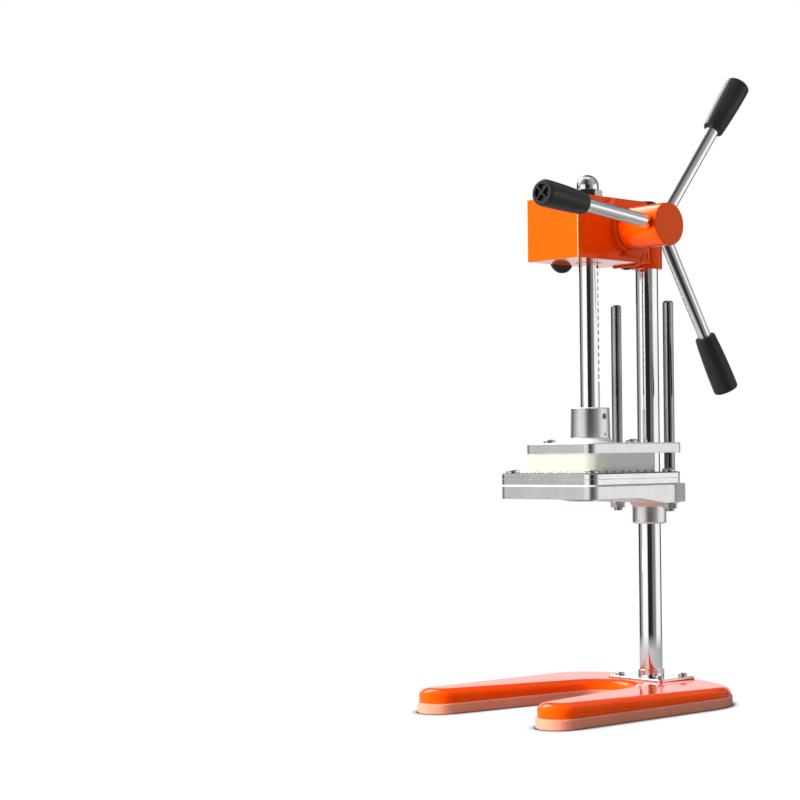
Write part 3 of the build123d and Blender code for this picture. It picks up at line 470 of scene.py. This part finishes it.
def head_welds():
    """Weld runs that join the head box, its neck and the column socket, painted over."""
    bm = bmesh.new()
    head_low, head_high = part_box("head_housing")
    neck_low, neck_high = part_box("head_neck")
    socket_low, socket_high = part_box("head_socket")
    side, rear = head_high.x, head_high.y
    low, high = neck_low.z + 0.001, neck_high.z - 0.001
    socket_radius = (socket_high.x - socket_low.x) / 2
    meeting = -math.sqrt(socket_radius**2 - neck_high.x**2) - 0.0004
    for sign in (-1, 1):
        x = sign * (neck_high.x + 0.0004)
        weld_bead(bm, [(x, rear + 0.0002, low), (x, rear + 0.0002, high)], 0.0019)
        weld_bead(bm, [(x, meeting, low), (x, meeting, high)], 0.0014)
    lip = head_low.z
    weld_bead(
        bm,
        [
            (side - 0.0002, rear - 0.0050, lip + 0.0095),
            (side + 0.0002, rear - 0.0075, lip + 0.0045),
            (side - 0.0008, rear - 0.0095, lip + 0.0002),
            (side - 0.0080, rear - 0.0050, lip - 0.0006),
            (neck_high.x + 0.0030, rear - 0.0010, lip - 0.0007),
            (neck_high.x - 0.0030, rear + 0.0010, lip - 0.0007),
        ],
        0.0016,
    )
    upright_run = [(side - 0.0004, rear - 0.0006, lip + rise) for rise in (0.0105, 0.0010)]
    weld_bead(bm, upright_run, 0.0013)
    level_run = [(x, rear + 0.0002, lip - 0.0004) for x in (-neck_high.x, neck_high.x)]
    weld_bead(bm, level_run, 0.0015)
    new_piece("head_weld_runs", bm, "orange_paint")


def bearing_boss():
    """Flat-bottomed arched pad welded under the handwheel bearing."""
    seat_low, seat_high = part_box("bearing_seat")
    head_low, head_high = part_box("head_housing")
    middle_y = (seat_low.y + seat_high.y) / 2 + 0.0034
    radius, floor_z = 0.0122, head_low.z + 0.0044
    centre_z = floor_z - 0.0032
    start = math.asin((floor_z - centre_z) / radius)
    turns = [start + (math.pi - 2 * start) * k / 28 for k in range(29)]
    bm = bmesh.new()
    start_x = head_high.x - 0.0005
    arch = [(start_x, middle_y + radius * math.cos(t), centre_z + radius * math.sin(t)) for t in turns]
    outline = [bm.verts.new(point) for point in arch]
    face = bm.faces.new(outline)
    raised = bmesh.ops.extrude_face_region(bm, geom=[face])
    moved = [item for item in raised["geom"] if isinstance(item, bmesh.types.BMVert)]
    bmesh.ops.translate(bm, verts=moved, vec=(seat_high.x - head_high.x + 0.0008, 0, 0))
    outer = [e for e in bm.edges if all(v in moved for v in e.verts)]
    bmesh.ops.bevel(bm, geom=outer, offset=0.0009, segments=3, profile=0.6, affect="EDGES")
    new_piece("bearing_boss", bm, "orange_paint")


def stud_threads():
    """Threads on the guide rods' stud ends."""
    bm = bmesh.new()
    rods_low, rods_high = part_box("guide_rods")
    nuts_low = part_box("rod_nuts")[0].z
    radius = 0.004
    across = (rods_high.y - rods_low.y) / 2
    for sign in (-1, 1):
        x = sign * (rods_high.x - across)
        centre = (x, (rods_low.y + rods_high.y) / 2, rods_low.z - 0.00005)
        thread_sleeve(bm, centre, (0, 0, 1), radius, nuts_low - rods_low.z + 0.001)
    new_piece("rod_stud_threads", bm, "fastener_steel")


head_welds()
bearing_boss()
stud_threads()

# ---------------------------------------------------------------- studio


# What mirrors see of the room: (turn in degrees to the right of the viewpoint, brightness) on
# three rings, one below, one level and one high
ROOM = (
    (
        (-180, 0.36), (-160, 0.45), (-125, 0.56), (-106, 0.65), (-88, 0.80), (-76, 0.55), (-62, 0.12),
        (-40, 0.06), (-13, 0.03), (4, 0.02), (11, 0.06), (22, 0.23), (43, 0.43), (80, 0.45), (106, 0.40),
        (126, 0.28), (136, 0.47), (149, 0.72), (161, 0.62), (172, 0.36), (180, 0.36),
    ),
    (
        (-180, 1.0), (-153, 1.0), (-149, 0.02), (-116, 0.05), (-112, 0.30), (-84, 0.50),
        (-79, 1.10), (-30, 1.10), (-24, 0.02), (16, 0.02), (20, 0.16), (52, 0.30),
        (60, 1.0), (106, 1.05), (118, 0.70), (124, 0.03), (146, 0.03), (150, 1.0), (180, 1.0),
    ),
    (
        (-180, 0.06), (-166, 0.08), (-156, 0.90), (-134, 0.93), (-113, 0.84), (-91, 0.63), (-65, 0.29),
        (-39, 0.105), (-17, 0.035), (0, 0.07), (14, 0.23), (35, 0.30), (53, 0.38), (75, 0.45),
        (100, 0.38), (115, 0.33), (134, 0.50), (149, 0.26), (167, 0.08), (180, 0.06),
    ),
)


def studio_world():
    """White for the eye, grey for diffuse light, and for mirrors a room of white sheets and dark gaps."""
    world = bpy.data.worlds.new("studio")
    world.use_nodes = True
    bpy.context.scene.world = world
    g = Graph(world.node_tree)
    direction = g.add("ShaderNodeTexCoord", out=0)
    ahead, right = (
        g.add("ShaderNodeVectorMath", {0: direction, 1: axis}, out=1, operation="DOT_PRODUCT")
        for axis in (TOWARDS_CAMERA, TOWARDS_RIGHT)
    )
    around = g.math("ARCTAN2", right, ahead)
    turn = g.span(around, 0.0, 1.0, -math.pi, math.pi)
    rings = [g.ramp(turn, [((angle + 180) / 360, tone) for angle, tone in ring]) for ring in ROOM]
    height = g.part(direction, 2)
    mirrored = g.blend(g.span(height, 0.0, 1.0, -0.10, -0.40), rings[1], rings[0])
    mirrored = g.blend(g.span(height, 0.0, 1.0, 0.13, 0.30), mirrored, rings[2])
    overhead = g.span(height, 0.0, 1.0, 0.92, 0.98)
    below = g.span(height, 0.0, 1.0, -0.72, -0.90)
    mirrored = g.blend(g.math("MAXIMUM", overhead, below), mirrored, grey(0.95))
    path = g.tree.nodes.new("ShaderNodeLightPath")
    from_gloss = g.math("MAXIMUM", path.outputs["Is Glossy Ray"], path.outputs["Is Singular Ray"])
    seen = g.blend(from_gloss, grey(AMBIENT), mirrored)
    seen = g.blend(path.outputs["Is Camera Ray"], seen, grey(1.0))
    light = g.add("ShaderNodeBackground", {0: seen, 1: 1.0})
    g.add("ShaderNodeOutputWorld", {0: light})


def soft_box(name, position, target, width, height, watts, mirrored=False):
    """A large diffuser. It either lights surfaces or only shows in them as a highlight."""
    data = bpy.data.lights.new(name, "AREA")
    data.shape, data.size, data.size_y, data.energy = "RECTANGLE", width, height, watts
    made = bpy.data.objects.new(name, data)
    bpy.context.scene.collection.objects.link(made)
    made.location = position
    aim = Vector(target) - Vector(position)
    made.rotation_euler = aim.to_track_quat("-Z", "Y").to_euler()
    made.visible_glossy = mirrored
    made.visible_diffuse = not mirrored
    made.visible_transmission = not mirrored
    made.visible_camera = False


def studio_floor(radius=1.0, rings=24, spokes=96):
    """A pale round sheet with soft contact shadows, clear to mirrors beyond its middle."""
    mesh = bpy.data.meshes.new("floor")
    bm = bmesh.new()
    rows = []
    turns = [math.tau * k / spokes for k in range(spokes)]
    for ring in range(1, rings + 1):
        reach = radius * (ring / rings) ** 1.4
        rows.append([bm.verts.new((reach * math.cos(t), reach * math.sin(t), 0.0)) for t in turns])
    bm.faces.new(rows[0])
    for inner, outer in zip(rows, rows[1:]):
        for k in range(spokes):
            following = (k + 1) % spokes
            bm.faces.new((inner[k], outer[k], outer[following], inner[following]))
    bm.to_mesh(mesh)
    bm.free()
    made, g = material("floor_sheet")
    near = g.add("ShaderNodeAmbientOcclusion", {"Distance": 0.022}, out=1, samples=12)
    contact = g.span(near, 0.02, 1.0, 0.56, 0.80)
    wide = g.add("ShaderNodeAmbientOcclusion", {"Distance": 0.10}, out=1, samples=12)
    soft = g.span(wide, 0.94, 1.04, 0.45, 0.95)
    tone = g.math("MULTIPLY", g.math("MULTIPLY", contact, soft), g.span(g.noise(3.0, 3.0), 0.995, 1.005))
    seen = g.add("ShaderNodeEmission", {0: grey(1.0), 1: tone})
    bounce = g.add("ShaderNodeBsdfDiffuse", {0: grey(FLOOR_BOUNCE)})
    reach = g.add("ShaderNodeVectorMath", {0: g.place()}, out=1, operation="LENGTH")
    beyond = g.span(reach, 0.0, 1.0, 0.42, 0.60)
    path = g.tree.nodes.new("ShaderNodeLightPath")
    faded = g.math("MULTIPLY", beyond, path.outputs["Is Glossy Ray"])
    clear = g.add("ShaderNodeBsdfTransparent")
    bounce = g.add("ShaderNodeMixShader", {0: faded, 1: bounce, 2: clear})
    mixed = g.add("ShaderNodeMixShader", {0: path.outputs["Is Camera Ray"], 1: bounce, 2: seen})
    g.add("ShaderNodeOutputMaterial", {0: mixed})
    mesh.materials.append(made)
    floor = bpy.data.objects.new("floor", mesh)
    bpy.context.scene.collection.objects.link(floor)


# Brightness of the room for diffuse light, the floor's reflectance, and the point the lamps face
AMBIENT, FLOOR_BOUNCE = 0.50, 0.36
MIDDLE = (0, -0.05, 0.25)
studio_world()
studio_floor()
soft_box("key", (-0.75, -2.30, 0.85), MIDDLE, 1.3, 1.0, 165)
soft_box("top", (0.1, -0.2, 2.3), MIDDLE, 1.6, 1.6, 16)
soft_box("highlight_low", (-0.52, -0.73, 0.075), (0.0, -0.2, 0.02), 0.11, 0.022, 0.05, mirrored=True)
soft_box("highlight_high", (-1.45, 0.15, 1.60), MIDDLE, 1.2, 0.8, 15, mirrored=True)


def camera():
    data = bpy.data.cameras.new("camera")
    data.lens, data.sensor_width, data.sensor_fit = CAMERA_LENS, 36.0, "HORIZONTAL"
    data.shift_x, data.shift_y = SHIFT_X, SHIFT_Y
    data.clip_start, data.clip_end = 0.05, 30.0
    data.dof.use_dof = False
    made = bpy.data.objects.new("camera", data)
    bpy.context.scene.collection.objects.link(made)
    low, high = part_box("plunger_rack")
    plunger_axis = Vector((0.0, low.y + (high.x - low.x) / 2, 0.0))
    standpoint = plunger_axis + CAMERA_DISTANCE * Vector(TOWARDS_CAMERA) + Vector((0, 0, CAMERA_HEIGHT))
    made.matrix_world = (
        Matrix.Translation(standpoint)
        @ Matrix.Rotation(AZIMUTH, 4, "Z")
        @ Matrix.Rotation(math.pi / 2, 4, "X")
        @ Matrix.Rotation(CAMERA_ROLL, 4, "Z")
    )
    bpy.context.scene.camera = made


camera()
bpy.context.scene.view_settings.view_transform = "Standard"
bpy.context.scene.view_settings.look = "None"
